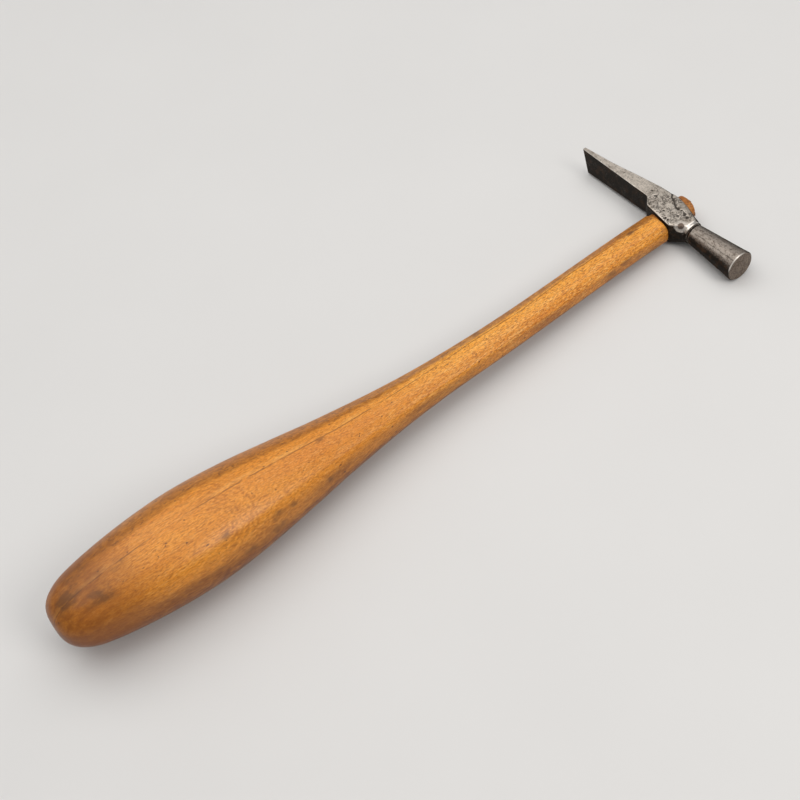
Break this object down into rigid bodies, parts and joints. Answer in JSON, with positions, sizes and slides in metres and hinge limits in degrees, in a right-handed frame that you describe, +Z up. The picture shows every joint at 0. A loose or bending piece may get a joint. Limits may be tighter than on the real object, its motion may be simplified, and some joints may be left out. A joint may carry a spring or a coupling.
{
  "type": "tack hammer",
  "caption": "Light tack hammer lying on its side: a small forged head with a round face and a thin cross peen, on a slim hardwood shank that swells to a long oval grip.",
  "frame": {"origin": "on the surface the hammer lies on, under the centre of its bounding box", "axes": "+X along the handle from the grip to the head, -Y the way the striking face looks, +Z up out of the upper cheek"},
  "size_m": [0.2861, 0.0864, 0.0317],
  "materials": {
    "forged_steel": "old forged steel, filed bright on the edges and cheeks, dark brown patina in the pits and on the sides",
    "handle_wood": "honey-coloured hardwood under a worn satin varnish, fine dark flecks, darker at the butt",
    "wedge_wood": "dry end grain, darkened with handling",
    "wedge_steel": "rust-brown cut steel"
  },
  "bodies": {
    "root": {"hammer_head": "forged_steel", "handle": "handle_wood", "wood_wedge": "wedge_wood", "steel_wedge": "wedge_steel"}
  },
  "joints": []
}
